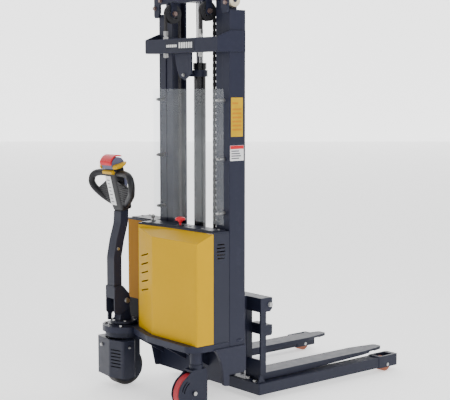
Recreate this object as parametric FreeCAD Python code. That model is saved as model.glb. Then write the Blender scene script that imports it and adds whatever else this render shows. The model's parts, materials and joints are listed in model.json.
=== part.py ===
import FreeCAD, Part
import os, math
from FreeCAD import Vector as V

# Walkie stacker, millimetres.  X right, Y towards the fork tips, Z up, floor at Z = 0.
# Everything is laid out about the mast centre line and moved to the box centre at the end.

# ---- driving dimensions -------------------------------------------------
SHIFT = (145.505, -407.884, 0.0)    # mast centre line to box centre
MAST_W = 290.0                   # half width over the outer channels
MAST_D = 51.0                    # half depth of the outer channels
WEB = 12.0                       # outer channel web
OUT_TOP = 1976.0                 # outer mast top
OUT_BOT = 160.0
IN_W = 230.0                     # half width over the inner channels
IN_D = 47.0
IN_TOP = 2080.0
IN_BOT = 175.0
LIFT = 1350.0                    # travel of each mast stage
SHEAVE_X, SHEAVE_Y, SHEAVE_Z, SHEAVE_R = 143.0, -72.0, 1973.0, 44.0
CHAIN_W, CHAIN_T = 14.0, 12.0
BAR_Z0, BAR_Z1, BAR_TOP = 1771.0, 1843.0, 1875.0
BAR_Y = -135.0
CYL_Y, CYL_R, CYL_BORE, ROD_R = -7.0, 31.0, 26.0, 18.0
PANEL_Y0, PANEL_Y1, PANEL_Z0, PANEL_Z1 = -92.0, -88.0, 920.0, 1590.0
DECK_Z0, DECK_Z1 = 298.0, 330.0
HOOD_Z0, HOOD_Z1 = 331.0, 880.0
WING_X, WING_Y0, WING_Y1 = -535.0, -95.0, 58.0   # left bay of the body, beside the tiller
STEER_X, STEER_Y = -415.0, -205.0
DRIVE_R, DRIVE_W = 100.0, 70.0
TILT_Y, TILT_Z = -213.0, 463.0
CAST_X, CAST_Y, CAST_TRAIL, CAST_R, CAST_W = 230.0, -218.0, 35.0, 95.0, 44.0
LEG_X0, LEG_X1, LEG_Z0, LEG_Z1 = 245.0, 323.0, 30.0, 88.0
LEG_OFF = 102.0                  # how much further out the left leg stands
BASE_Y0, BASE_Y1, LEG_Y1 = 120.0, 292.0, 1165.0
LOAD_Y, LOAD_R, LOAD_W = 1085.0, 40.0, 54.0
FORK_X0, FORK_X1, FORK_Z1, FORK_TIP = 164.0, 283.0, 130.0, 1112.0
HEAD_Z0, HEAD_Z1 = 448.0, 521.0
RUN = 0.05                       # radial running clearance

os.makedirs("parts", exist_ok=True)
NODES = {}


# ---- helpers ------------------------------------------------------------
def box(x0, x1, y0, y1, z0, z1):
    return Part.makeBox(x1 - x0, y1 - y0, z1 - z0, V(x0, y0, z0))


def cyx(x0, x1, y, z, r):
    return Part.makeCylinder(r, x1 - x0, V(x0, y, z), V(1, 0, 0))


def cyy(x, y0, y1, z, r):
    return Part.makeCylinder(r, y1 - y0, V(x, y0, z), V(0, 1, 0))


def cyz(x, y, z0, z1, r):
    return Part.makeCylinder(r, z1 - z0, V(x, y, z0), V(0, 0, 1))


def fuse(*s):
    s = [a for a in s if a is not None]
    r = s[0]
    if len(s) > 1:
        r = r.fuse(list(s[1:]))
    return r.removeSplitter()


def cut(a, *b):
    for k in b:
        a = a.cut(k)
    return a.removeSplitter()


def rounded(pts, radii):
    """Closed wire edges of a polygon whose corners have the given radii."""
    n = len(pts)
    if not isinstance(radii, (list, tuple)):
        radii = [radii] * n
    segs = []
    for i in range(n):
        p, a, b = V(*pts[i]), V(*pts[i - 1]), V(*pts[(i + 1) % n])
        r = radii[i]
        da, db = (a - p), (b - p)
        la, lb = da.Length, db.Length
        da.normalize()
        db.normalize()
        if r <= 0:
            segs.append((p, p, p))
            continue
        ang = math.acos(max(-1, min(1, da.dot(db))))
        if abs(ang - math.pi) < 1e-4:
            segs.append((p, p, p))
            continue
        t = r / math.tan(ang / 2)
        t = min(t, la * 0.499, lb * 0.499)
        r = t * math.tan(ang / 2)
        p0, p1 = p + da * t, p + db * t
        bis = da + db
        bis.normalize()
        m = p + bis * (r / math.sin(ang / 2) - r)
        segs.append((p0, m, p1))
    edges = []
    for i in range(n):
        p0, m, p1 = segs[i]
        if (p0 - p1).Length > 1e-6:
            edges.append(Part.Arc(p0, m, p1).toShape())
        q = segs[(i + 1) % n][0]
        if (p1 - q).Length > 1e-6:
            edges.append(Part.LineSegment(p1, q).toShape())
    return Part.Face(Part.Wire(edges))


def pz(pts, z0, z1, r=0):
    return rounded([(x, y, z0) for x, y in pts], r).extrude(V(0, 0, z1 - z0))


def px(pts, x0, x1, r=0):
    return rounded([(x0, y, z) for y, z in pts], r).extrude(V(x1 - x0, 0, 0))


def py(pts, y0, y1, r=0):
    return rounded([(x, y0, z) for x, z in pts], r).extrude(V(0, y1 - y0, 0))


def mir(s):
    return s.mirror(V(0, 0, 0), V(1, 0, 0))


def both(s):
    return [s, mir(s)]


def hexbolt(p, d, af, head, shank_r, length, washer=True):
    """Hex head whose seat is at p, head towards d, shank the other way."""
    p, d = V(*p), V(*d)
    c = af / math.sqrt(3)
    u = V(0, 0, 1) if abs(d.z) < 0.9 else V(1, 0, 0)
    w = d.cross(u)
    w.normalize()
    u = w.cross(d)
    t = 2.5 if washer else 0
    base = p + d * t
    pts = [base + u * (c * math.cos(k * math.pi / 3)) + w * (c * math.sin(k * math.pi / 3)) for k in range(7)]
    h = Part.Face(Part.makePolygon(pts)).extrude(d * head)
    parts = [h]
    if washer:
        parts.append(Part.makeCylinder(af * 0.62, t, p, d))
    if length > 0:
        parts.append(Part.makeCylinder(shank_r, length, p - d * length, d))
    return fuse(*parts)


def node(name, *solids):
    out = []
    for s in solids:
        out += list(s.Solids)
    c = out[0] if len(out) == 1 else Part.makeCompound(out)
    c = c.copy()
    c.translate(V(*SHIFT))
    NODES[name] = c


def about(s, p, axis, deg):
    s = s.copy()
    s.rotate(V(*p), V(*axis), deg)
    return s


# ---- outer mast ---------------------------------------------------------
def channel(xo, xi, d, web, lip, z0, z1):
    """C channel on the +X side: web outside at xo, flanges reaching in to xi."""
    return pz([(xo, -d), (xo, d), (xi, d), (xi, d - lip), (xo - web, d - lip),
               (xo - web, -d + lip), (xi, -d + lip), (xi, -d)], z0, z1,
              [3, 3, 2, 2, 6, 6, 2, 2])


ch = channel(MAST_W, 232, MAST_D, WEB, 12, OUT_BOT, OUT_TOP)
rear_tie = box(-278, 278, -51, -45, 830, 870)
tie = cut(box(-278.5, 278.5, 39, 51, 300, 380), box(-232, 232, 30, 60, 290, 390))
stop_lug = box(262, 278.5, -39.5, -20, 1946, OUT_TOP)
outer = fuse(ch, stop_lug)
bulge = Part.makeSphere(20)
m = FreeCAD.Matrix()
m.scale(0.25, 1.0, 0.42)
bulge = bulge.transformGeometry(m)
bulge.translate(V(MAST_W, 14, 330))
node("outer_mast", fuse(outer, cut(bulge, box(200, MAST_W - 2, -20, 50, 300, 360))), mir(outer))

# crossbar that ties the two outer channels together at the top
side = px([(BAR_Y, BAR_Z0), (44, BAR_Z0), (44, BAR_TOP), (-51, BAR_TOP), (BAR_Y, BAR_Z1)], 290, 298, [10, 3, 3, 12, 10])
bar = fuse(side, mir(side), box(-291, 291, BAR_Y, -127, BAR_Z0, BAR_Z1),
           box(-291, 291, -128, -92, BAR_Z0, BAR_Z0 + 8), box(-291, 291, -128, -92, BAR_Z1 - 8, BAR_Z1))
for x in (-SHEAVE_X, SHEAVE_X):
    bar = cut(bar, cyz(x, SHEAVE_Y - SHEAVE_R, BAR_Z0 - 5, BAR_Z1 + 5, 8.2))
# pads between the crossbar and the back of the channels
pad = box(240, 285, -92, -51, BAR_Z0, BAR_Z0 + 8)
bar = fuse(bar, pad, mir(pad))
node("mast_crossbar", bar)
FAST = []

# chain anchors on the crossbar: stud, nuts and clevis
anch = []
for s in (-1, 1):
    x, y = s * SHEAVE_X, SHEAVE_Y - SHEAVE_R
    st = cyz(x, y, 1748, 1868, 7)
    st = fuse(st, hexbolt((x, y, BAR_Z1), (0, 0, 1), 22, 10, 5, 0), hexbolt((x, y, BAR_Z0), (0, 0, -1), 22, 10, 5, 0),
              hexbolt((x, y, BAR_Z0 - 12.5), (0, 0, -1), 22, 8, 5, 0, False),
              box(x - 11, x + 11, y - 7, y + 7, 1862, 1884))
    anch.append(st)
node("chain_anchors_rear", *anch)

# ---- chain strands ------------------------------------------------------
rear, front, wrap = [], [], []
for s in (-1, 1):
    x = s * SHEAVE_X
    yr, yf = SHEAVE_Y - SHEAVE_R, SHEAVE_Y + SHEAVE_R
    rear.append(box(x - CHAIN_W / 2, x + CHAIN_W / 2, yr - CHAIN_T / 2, yr + CHAIN_T / 2, 1884, SHEAVE_Z - 0.5))
    front.append(box(x - CHAIN_W / 2, x + CHAIN_W / 2, yf - CHAIN_T / 2, yf + CHAIN_T / 2, 556, SHEAVE_Z - 0.5))
    ring = cut(cyx(x - CHAIN_W / 2, x + CHAIN_W / 2, SHEAVE_Y, SHEAVE_Z, SHEAVE_R + CHAIN_T / 2),
               cyx(x - 20, x + 20, SHEAVE_Y, SHEAVE_Z, SHEAVE_R - CHAIN_T / 2),
               box(x - 20, x + 20, SHEAVE_Y - 80, SHEAVE_Y + 80, SHEAVE_Z - 90, SHEAVE_Z))
    wrap.append(ring)
node("chain_strands_rear", *rear)
node("chain_strands_front", *front)
node("chain_wraps", *wrap)

# ---- inner mast ---------------------------------------------------------
ci = channel(IN_W, 178, IN_D, 10, 10, IN_BOT, IN_TOP)
beam = box(-300, 300, -75, -47.5, 2026, IN_TOP)
beam = fuse(beam, box(-231, 231, -48, -40, 2026, IN_TOP))
ear = py([(252, 2030), (252, 1985), (262, 1958), (290, 1958), (300, 1968), (300, 2030)], -75, -63, 6)
seat = box(-45, 45, -60, 24, 2026, 2042)
br = []
for s in (-1, 1):
    for a, b in ((126, 131), (155, 160)):
        x0, x1 = sorted((s * a, s * b))
        br.append(px([(-92, 1955), (-54, 1955), (-54, 2030), (-92, 2030)], x0, x1, [12, 12, 0, 0]))
low = box(-190, 190, -46.5, -39.5, 178, 238)
stub = []
for s in (-1, 1):
    x0, x1 = sorted((s * 229, s * 276))
    stub.append(cyx(x0, x1, 0, 235, 15))
    stub.append(cyx(*sorted((s * 229, s * 262)), 8, 2026, 12))
rails = [fuse(ci, *stub[2:]), fuse(mir(ci), *stub[:2])]
cross = fuse(beam, ear, mir(ear), seat, *br)
for s in (-1, 1):
    cross = cut(cross, cyx(*sorted((s * 120, s * 165)), SHEAVE_Y, SHEAVE_Z, 10 + RUN))
node("inner_mast", *rails, cut(cross, *rails), cut(low, *rails))
pul, ax = {}, []
for s, nm in ((-1, "chain_sheave_left"), (1, "chain_sheave_right")):
    x = s * SHEAVE_X
    p = fuse(cyx(x - 9, x + 9, SHEAVE_Y, SHEAVE_Z, SHEAVE_R - CHAIN_T / 2 - 0.3),
             cyx(x - 11.5, x - 8.5, SHEAVE_Y, SHEAVE_Z, 49), cyx(x + 8.5, x + 11.5, SHEAVE_Y, SHEAVE_Z, 49))
    p = cut(p, cyx(x - 20, x + 20, SHEAVE_Y, SHEAVE_Z, 10 + RUN))
    for k in range(5):
        a = math.radians(72 * k + 18)
        p = cut(p, cyx(x - 20, x + 20, SHEAVE_Y + 24 * math.cos(a), SHEAVE_Z + 24 * math.sin(a), 6))
    pul[nm] = p
    ax.append(fuse(cyx(x - 18, x + 18, SHEAVE_Y, SHEAVE_Z, 10), hexbolt((x + 18, SHEAVE_Y, SHEAVE_Z), (1, 0, 0), 22, 7, 5, 0),
                   hexbolt((x - 18, SHEAVE_Y, SHEAVE_Z), (-1, 0, 0), 22, 7, 5, 0)))
node("chain_sheaves", *pul.values())
tb = []
for x in (-289, 289, -241, 241):
    tb.append(hexbolt((x, -75, 2008 if abs(x) > 260 else 2045), (0, -1, 0), 17, 8, 5, 0))
node("mast_head_pins", *(ax + tb))


def roller(x0, x1, y, z, r, bore):
    c = cyx(x0, x1, y, z, r)
    c = c.makeChamfer(1.5, [e for e in c.Edges if e.Curve.TypeId == "Part::GeomCircle"])
    return cut(c, cyx(x0 - 5, x1 + 5, y, z, bore + RUN))


node("inner_rollers", roller(238, 270, 0, 235, 38.5, 15), roller(-270, -238, 0, 235, 38.5, 15))
node("top_rollers", roller(236, 261, 8, 2026, 35, 12), roller(-261, -236, 8, 2026, 35, 12))

# ---- lift cylinder ------------------------------------------------------
barrel = cut(cyz(0, CYL_Y, 96, 1690, CYL_R), cyz(0, CYL_Y, 120, 1700, CYL_BORE))
gl = cut(fuse(cyz(0, CYL_Y, 1690, 1722, 35), cyz(0, CYL_Y, 1672, 1690, CYL_BORE + 1)), cyz(0, CYL_Y, 1660, 1730, ROD_R + RUN))
node("cylinder_barrel", fuse(barrel, gl))
node("cylinder_rod", fuse(cyz(0, CYL_Y, 150, 2026, ROD_R), cyz(0, CYL_Y, 150, 190, CYL_BORE - RUN)))
st = fuse(py([(-87, BAR_Z0), (53, BAR_Z0), (53, 1668), (-4, 1634), (-43, 1650), (-66, 1690)], -104, -96, [0, 0, 4, 8, 8, 10]),
          box(-40, -12, -97, -30, 1652, 1684),
          cut(cyz(0, CYL_Y, 1652, 1686, 40), cyz(0, CYL_Y, 1640, 1700, CYL_R + 0.02)))
st = cut(st, cyz(0, CYL_Y, 1640, 1700, CYL_R + 0.02))
node("cylinder_strap", st)
FAST += [hexbolt((-8, -104, 1660), (0, -1, 0), 14, 6, 4, 0)]

# ---- guard panel --------------------------------------------------------
panel = py([(-288, PANEL_Z0), (288, PANEL_Z0), (288, PANEL_Z1), (-288, PANEL_Z1)], PANEL_Y0, PANEL_Y1, 6)
fx = []
for x in (-250, 250):
    for z in (975, 1245, 1535):
        panel = cut(panel, cyy(x, PANEL_Y0 - 2, PANEL_Y1 + 2, z, 4.2))
        fx.append(fuse(cyy(x, PANEL_Y1, -51, z, 9), cyy(x, PANEL_Y0 - 2, PANEL_Y1, z, 4), hexbolt((x, PANEL_Y0, z), (0, -1, 0), 11, 4, 3, 0)))
node("guard_panel", panel)
FAST += fx

# ---- chassis ------------------------------------------------------------
deck = pz([(290, -51), (290, -232), (256, -290), (-90, -290), (-300, -226), (-330, -150), (WING_X, -100), (WING_X, WING_Y1), (-298, WING_Y1), (-298, -51)],
          DECK_Z0, DECK_Z1, [4, 40, 50, 90, 30, 30, 8, 8, 4, 4])
deck = fuse(deck, cyz(STEER_X, STEER_Y, DECK_Z0, DECK_Z1, 115))
deck = cut(deck, cyz(STEER_X, STEER_Y, DECK_Z0 - 5, DECK_Z1 + 5, 78))
bulk = box(-330, 290, -63, -51, 106, DECK_Z0 + 1)
gus = px([(-51, 299), (-150, 299), (-134, 282), (-112, 240), (-98, 190), (-90, 111), (-51, 106)], 278, 290, [0, 0, 30, 60, 60, 4, 0])
skirt = px([(-150, 303), (-134, 282), (-112, 240), (-98, 190), (-92, 111), (-62, 106), (-56, 168), (51, 170), (51, 303)], 290, 297, [2, 30, 60, 60, 6, 4, 4, 4, 2])
lg = px([(-51, 299), (-140, 299), (-120, 240), (-90, 111), (-51, 106)], -290, -278)
boss = cyz(CAST_X, CAST_Y, 232, DECK_Z0 + 1, 31)
chassis = fuse(deck, bulk, gus, lg, skirt, boss)
chassis = cut(chassis, cyz(CAST_X, CAST_Y, 200, DECK_Z1 + 5, 15 + RUN))
# ribs under the deck
for x in (-250, -60, 130):
    chassis = fuse(chassis, px([(-63, 298.5), (-230, 298.5), (-230, 280), (-63, 180)], x, x + 8))
ring = cut(cyz(STEER_X, STEER_Y, DECK_Z0 - 2, DECK_Z1 + 4, 79), cyz(STEER_X, STEER_Y, 280, 350, 60 + RUN))
node("chassis_frame", fuse(chassis, ring))
db = []
for k in range(4):
    a = math.radians(45 + 90 * k)
    db.append(hexbolt((STEER_X + 97 * math.cos(a), STEER_Y + 97 * math.sin(a), DECK_Z1), (0, 0, 1), 15, 7, 4, 0))
FAST += db

# ---- base frame with straddle legs ---------------------------------------
leg = pz([(LEG_X0, BASE_Y0), (LEG_X1, BASE_Y0), (LEG_X1, LEG_Y1), (LEG_X0, LEG_Y1)], LEG_Z0, LEG_Z1, [0, 6, 8, 8])
blk = pz([(LEG_X0 - 4, 1010), (LEG_X1 + 4, 1010), (LEG_X1 + 4, LEG_Y1), (LEG_X0 - 4, LEG_Y1)], 27, 92, 8)
blk = cut(blk, box(LEG_X0 + 9, LEG_X1 - 9, 1036, 1134, 20, 100))
leg = cut(leg, box(LEG_X0 + 9, LEG_X1 - 9, 1036, 1134, 20, 100))
leg = cut(leg, box(LEG_X0 + 6, LEG_X1 - 6, BASE_Y1 + 10, 1000, 20, 82))
leg = fuse(leg, blk)
leg = cut(leg, cyx(200, 340, LOAD_Y, LOAD_R, 10 + 0.02))
foot = px([(-51, 106), (-51, 159.9), (60, 159.9), (150, 118), (172, 88), (119, 87), (100, 106)], 64, 84, [0, 0, 20, 20, 0, 0, 8])
tri = px([(126, 87), (176, 87), (150, 122), (138, 132)], 300, 310, [0, 0, 12, 5])
beamb = box(-LEG_X0 - LEG_OFF - 1, LEG_X0 + 1, BASE_Y0, BASE_Y1, LEG_Z0, LEG_Z1)
beamb = cut(beamb, box(-236 - LEG_OFF, 236, BASE_Y0 + 8, BASE_Y1 - 8, 20, 78))
pads = [pz([(x0, 128), (x0 + 150, 128), (x0 + 150, 284), (x0, 284)], 87, 92, 8) for x0 in (70,)]
beamb = fuse(beamb, *both(pads[0]))
seatp = fuse(box(-60, 60, -63 + 12, 125, 78, 96), box(-60, 60, 112, 125, 60, 96))
legl, tril = mir(leg), mir(tri)
for k in (legl, tril):
    k.translate(V(-LEG_OFF, 0, 0))
base = fuse(beamb, leg, legl, foot, mir(foot), tri, tril, seatp)
node("base_frame", base)
bb = []
for x, y in ((94, 203), (148, 205), (119, 262), (205, 145)):
    for s in (-1, 1):
        bb.append(hexbolt((s * x, y, 92), (0, 0, 1), 19, 9, 6, 0))
for s in (-1, 1):
    bb.append(hexbolt((s * 268, 138, LEG_Z1), (0, 0, 1), 19, 8, 6, 0))
FAST += bb
node("frame_fasteners", *FAST)
la = []
for s, nm in ((-1, "load_wheel_left"), (1, "load_wheel_right")):
    off = -LEG_OFF if s < 0 else 0.0
    xm_ = s * (LEG_X0 + LEG_X1) / 2 + off
    la.append(fuse(cyx(xm_ - 42.5, xm_ + 42.5, LOAD_Y, LOAD_R, 10), cyx(xm_ - 44.5, xm_ - 42, LOAD_Y, LOAD_R, 7), cyx(xm_ + 42, xm_ + 44.5, LOAD_Y, LOAD_R, 7)))
    w = cyx(xm_ - LOAD_W / 2, xm_ + LOAD_W / 2, LOAD_Y, LOAD_R, LOAD_R)
    w = w.makeChamfer(2.5, [e for e in w.Edges if e.Curve.TypeId == "Part::GeomCircle"])
    w = cut(w, cyx(xm_ - 60, xm_ + 60, LOAD_Y, LOAD_R, 10 + RUN))
    node(nm, w)
node("load_wheel_axles", *la)

# ---- hood ---------------------------------------------------------------
def bay(off):
    """Raised rear bay of the hood, inset by off."""
    x1, xa, xb_ = 289 - off, -83 + off * 0.3, -293 + off * 1.2
    body = pz([(x1, -120), (x1, -256 + off), (xa, -256 + off), (xb_, -190 + off), (xb_, -120)], HOOD_Z0 - 1, HOOD_Z1 - off, [0, 6, 40, 4, 0])
    wedge = px([(-153 + off, HOOD_Z1 + 1 - off), (-300, HOOD_Z1 + 1 - off), (-300, 826 - off), (-256 + off, 840 - off)], -700, 400)
    return cut(body, wedge)


lip_o = pz([(289, -120), (289, -153), (-83, -165), (-293, -192), (-293, -120)], HOOD_Z0 - 1, HOOD_Z1, [0, 0, 0, 3, 0])
lip_i = pz([(286, -100), (286, -150.2), (-83, -162), (-289.4, -188.6), (-289.4, -100)], HOOD_Z0 - 5, HOOD_Z1 - 3)
shell = cut(fuse(bay(0), lip_o), fuse(bay(3.0), lip_i), box(-400, 400, -400, 0, 300, HOOD_Z0),
            box(-260, 400, -152.9, -50, 300, 900))
# walls of the recess beside the tiller and of the left bay
wall = pz([(-297, -189), (-297, WING_Y0), (WING_X, WING_Y0), (WING_X, -60), (WING_X + 3, -60), (WING_X + 3, WING_Y0 + 3), (-294, WING_Y0 + 3), (-294, -189)],
          HOOD_Z0, HOOD_Z1, [0, 40, 14, 0, 0, 11, 43, 0])
for k in range(5):
    z = 727 - k * 46
    sl = box(-250, -142, -330, -150, z, z + 7)
    sl = about(sl, (-196, -200, z), (0, 1, 0), -14)
    shell = cut(shell, sl)
join = box(-297, -289.5, -190.5, -186, HOOD_Z0, HOOD_Z1)
shell = cut(shell, box(-330, -289.5, -186, 0, 300, 900))
shell = fuse(shell, wall, join)
shell = cut(shell, cyz(-258, -120, 860, 890, 10))
node("rear_cover", shell)
topo = [(288.5, -52.5), (288.5, -153), (-83, -165), (-297, -190), (-297, WING_Y0), (WING_X, WING_Y0), (WING_X, WING_Y1), (-299.5, WING_Y1), (-299.5, -52.5)]
top = pz(topo, HOOD_Z1 + 0.5, HOOD_Z1 + 8, [2, 2, 0, 4, 40, 14, 14, 2, 2])
crown = pz([(275, -62), (275, -146), (-83, -159), (-284, -181), (-284, -80), (-515, -80), (-515, 44), (-315, 44), (-315, -62)], HOOD_Z1 + 7.5, HOOD_Z1 + 14, 10)
top = fuse(top, crown)
ES = (2.0, -138.0)
KEY = (-258.0, -120.0)
top = cut(top, cyz(ES[0], ES[1], 860, 920, 11.2), cyz(KEY[0], KEY[1], 860, 920, 9.2))
node("top_cover", top)
sp = px([(-152.5, HOOD_Z0), (-52.5, HOOD_Z0), (-52.5, HOOD_Z1), (-152.5, HOOD_Z1)], 284, 289, 2)
for k, (a, b) in enumerate(((-128, -84), (-132, -80), (-134, -78), (-132, -80), (-128, -84))):
    z = 822 - k * 17
    sp = cut(sp, box(280, 292, a, b, z, z + 6))
node("side_panel_right", sp)
spl = pz([(WING_X, -59.5), (WING_X, WING_Y1), (-300, WING_Y1), (-300, -52), (-303, -52), (-303, WING_Y1 - 3), (WING_X + 3, WING_Y1 - 3), (WING_X + 3, -59.5)],
         HOOD_Z0, HOOD_Z1, [0, 14, 2, 0, 0, 2, 11, 0])
for k in range(6):
    z = 800 - k * 22
    spl = cut(spl, box(WING_X - 5, WING_X + 5, -30, 30, z, z + 7))
node("side_panel_left", spl)
scr = []
for x, y in ((-230, -156), (43, -107), (169, -128), (252, -90), (-495, -20), (-495, 30), (-330, 30)):
    scr.append(cyz(x, y, HOOD_Z1 + 14, HOOD_Z1 + 18, 7))
node("cover_screws", *scr)

# switches on the top cover
eb = fuse(cyz(ES[0], ES[1], HOOD_Z1 + 14, HOOD_Z1 + 19, 20), cyz(ES[0], ES[1], HOOD_Z1 - 34, HOOD_Z1 + 14, 11))
eb = cut(eb, cyz(ES[0], ES[1], HOOD_Z1 - 20, HOOD_Z1 + 25, 6 + RUN))
prof = [(0, 0, -14), (5.9, 0, -14), (5.9, 0, 30), (12, 0, 36), (13, 0, 40), (25, 0, 44), (26.5, 0, 50), (22, 0, 57), (12, 0, 60.5), (0, 0, 61.5)]
f = Part.Face(Part.makePolygon([V(*p) for p in prof] + [V(*prof[0])]))
mb = f.revolve(V(0, 0, 0), V(0, 0, 1), 360)
mb.translate(V(ES[0], ES[1], HOOD_Z1))
node("estop_button", mb)
kb = cut(fuse(cyz(KEY[0], KEY[1], HOOD_Z1 + 14, HOOD_Z1 + 19, 14), cyz(KEY[0], KEY[1], HOOD_Z1 - 24, HOOD_Z1 + 14, 9)), cyz(KEY[0], KEY[1], HOOD_Z1 - 10, HOOD_Z1 + 25, 5 + RUN))
node("switch_bodies", eb, kb)
kk = fuse(cyz(KEY[0], KEY[1], HOOD_Z1 - 10, HOOD_Z1 + 21, 5), box(KEY[0] - 1.2, KEY[0] + 1.2, KEY[1] - 4, KEY[1] + 4, HOOD_Z1 + 20, HOOD_Z1 + 30),
          cut(cyx(KEY[0] - 1.2, KEY[0] + 1.2, KEY[1], HOOD_Z1 + 38, 12), cyx(KEY[0] - 3, KEY[0] + 3, KEY[1], HOOD_Z1 + 42, 3)))
node("key", kk)

# ---- internals ----------------------------------------------------------
bt = []
for x0 in (-30, 124):
    b = pz([(x0, -246), (x0 + 146, -246), (x0 + 146, -76), (x0, -76)], DECK_Z1 + 2, DECK_Z1 + 232, 5)
    b = fuse(b, cyz(x0 + 30, -225, DECK_Z1 + 231, DECK_Z1 + 246, 9), cyz(x0 + 116, -225, DECK_Z1 + 231, DECK_Z1 + 246, 9))
    bt.append(b)
node("batteries", *bt)
node("pump_motor", fuse(cyz(-180, -115, DECK_Z1 + 60, DECK_Z1 + 235, 42), cyz(-180, -115, DECK_Z1 + 225, DECK_Z1 + 250, 26)))
node("hydraulic_pump", fuse(box(-222, -138, -158, -73, DECK_Z1, DECK_Z1 + 60), cyx(-252, -220, -115, DECK_Z1 + 30, 12)))
node("hydraulic_tank", pz([(-522, -80), (-312, -80), (-312, 46), (-522, 46)], DECK_Z1, DECK_Z1 + 250, 14))
node("controller", fuse(box(150, 282, -84, -51, 600, 780), *[box(156 + 18 * k, 162 + 18 * k, -96, -83, 606, 774) for k in range(7)]))

# ---- caster -------------------------------------------------------------
cy0 = CAST_Y - CAST_TRAIL
PR = 97.0
pl = px([(cy0 - PR, 95), (cy0 - PR * 0.924, 95 + PR * 0.383), (cy0 - PR * 0.707, 95 + PR * 0.707), (cy0 - PR * 0.383, 95 + PR * 0.924), (cy0 - 15, 205), (CAST_Y + 40, 205), (CAST_Y + 47, 198),
         (CAST_Y + 47, 40), (CAST_Y + 30, 16), (cy0 - 50, 16), (cy0 - PR * 0.87, 95 - PR * 0.5)], 0, 6, [30, 60, 60, 60, 20, 2, 8, 30, 10, 30, 40])
for r0, a0, a1 in ((60, 118, 172), (74, 124, 166)):
    pts = [(cy0 + r0 * math.cos(math.radians(a)), 95 + r0 * math.sin(math.radians(a))) for a in range(a0, a1 + 1, 6)]
    pts += [(cy0 + (r0 + 6) * math.cos(math.radians(a)), 95 + (r0 + 6) * math.sin(math.radians(a))) for a in range(a1, a0 - 1, -6)]
    pl = cut(pl, px(pts, -3, 9))
pr_, pl_ = pl.copy(), pl.copy()
pr_.translate(V(CAST_X + 26, 0, 0))
pl_.translate(V(CAST_X - 32, 0, 0))
crown_ = box(CAST_X - 32, CAST_X + 32, cy0 - 15, CAST_Y + 40, 199, 211)
pin = fuse(cyz(CAST_X, CAST_Y, 210, 232, 34), cyz(CAST_X, CAST_Y, 210, DECK_Z1 + 1.2, 15))
bars = []
for a in (150, 182, 205):
    yy, zz = cy0 + 97.5 * math.cos(math.radians(a)), 95 + 97.5 * math.sin(math.radians(a))
    bars.append(cyx(CAST_X - 31, CAST_X + 31, yy - 1.5, zz, 3))
cf = fuse(pr_, pl_, crown_, pin)
cf = cut(cf, cyx(CAST_X - 40, CAST_X + 40, cy0, 95, 10.02))
node("caster_fork", fuse(cf, cyx(CAST_X - 32, CAST_X + 32, cy0, 95, 10), hexbolt((CAST_X + 32, cy0, 95), (1, 0, 0), 19, 7, 5, 0), hexbolt((CAST_X - 32, cy0, 95), (-1, 0, 0), 19, 7, 5, 0)))
cw = cut(cyx(CAST_X - 20, CAST_X + 20, cy0, 95, 72), cyx(CAST_X - 60, CAST_X + 60, cy0, 95, 10 + RUN))
cw = cut(cw, cut(cyx(CAST_X + 8, CAST_X + 30, cy0, 95, 60), cyx(CAST_X - 30, CAST_X + 40, cy0, 95, 26)), cut(cyx(CAST_X - 30, CAST_X - 8, cy0, 95, 60), cyx(CAST_X - 40, CAST_X + 40, cy0, 95, 26)))
node("caster_wheel", cw)
ty = cut(cyx(CAST_X - 22, CAST_X + 22, cy0, 95, CAST_R), cyx(CAST_X - 60, CAST_X + 60, cy0, 95, 72))
ty = ty.makeChamfer(5, [e for e in ty.Edges if e.Curve.TypeId == "Part::GeomCircle" and abs(e.Curve.Radius - CAST_R) < 0.1])
node("caster_tyre", ty)

# ---- drive unit ---------------------------------------------------------
turn = fuse(cyz(STEER_X, STEER_Y, 270, 296, 100), cyz(STEER_X, STEER_Y, 270, 340, 60))
arm_r = px([(-245, 270), (-165, 270), (-165, 150), (-185, 85), (-225, 85), (-245, 150)], STEER_X + 42, STEER_X + 92, 8)
turn = fuse(turn, box(STEER_X + 42, STEER_X + 92, -245, -165, 262, 272))
node("turntable", turn)
node("gearbox", cut(fuse(arm_r, cyx(STEER_X + 40.5, STEER_X + 93, STEER_Y, DRIVE_R, 52)), box(STEER_X, STEER_X + 120, -300, -100, 261.9, 300), cyx(STEER_X + 20, STEER_X + 80, STEER_Y, DRIVE_R, 12 + RUN)))
node("drive_motor", fuse(cyx(STEER_X - 102, STEER_X - 42, STEER_Y, 172, 46), cyx(STEER_X - 106, STEER_X - 102, STEER_Y, 172, 30), box(STEER_X - 96, STEER_X - 48, -235, -175, 214, 270)))
dw = fuse(cyx(STEER_X - 33, STEER_X + 33, STEER_Y, DRIVE_R, 82), cyx(STEER_X - 40, STEER_X + 70, STEER_Y, DRIVE_R, 12))
for k in range(6):
    a = math.radians(60 * k)
    dw = cut(dw, cyx(STEER_X - 40, STEER_X + 36, STEER_Y + 52 * math.cos(a), DRIVE_R + 52 * math.sin(a), 12))
node("drive_wheel", dw)
dt = cut(cyx(STEER_X - 35, STEER_X + 35, STEER_Y, DRIVE_R, DRIVE_R), cyx(STEER_X - 60, STEER_X + 60, STEER_Y, DRIVE_R, 82))
dt = dt.makeChamfer(6, [e for e in dt.Edges if e.Curve.TypeId == "Part::GeomCircle" and abs(e.Curve.Radius - DRIVE_R) < 0.1])
node("drive_tyre", dt)
CO = [(-527, -120), (-527, -303), (-384, -322), (-290, -297), (-293, -222), (-302, -212)]
cov = pz(CO + [(-305, -212), (-297, -223), (-294.2, -294), (-384, -317.8), (-523, -299.5), (-523, -120)], 60, 262, [0, 14, 30, 14, 0, 0, 0, 0, 10, 26, 10, 0])
cov = fuse(cov, pz([(-527, -150), (-527, -303), (-384, -322), (-290, -297), (-293, -222), (-302, -212), (-360, -205), (-360, -150)], 258, 262, [0, 14, 30, 14, 0, 0, 0, 0]))
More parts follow.
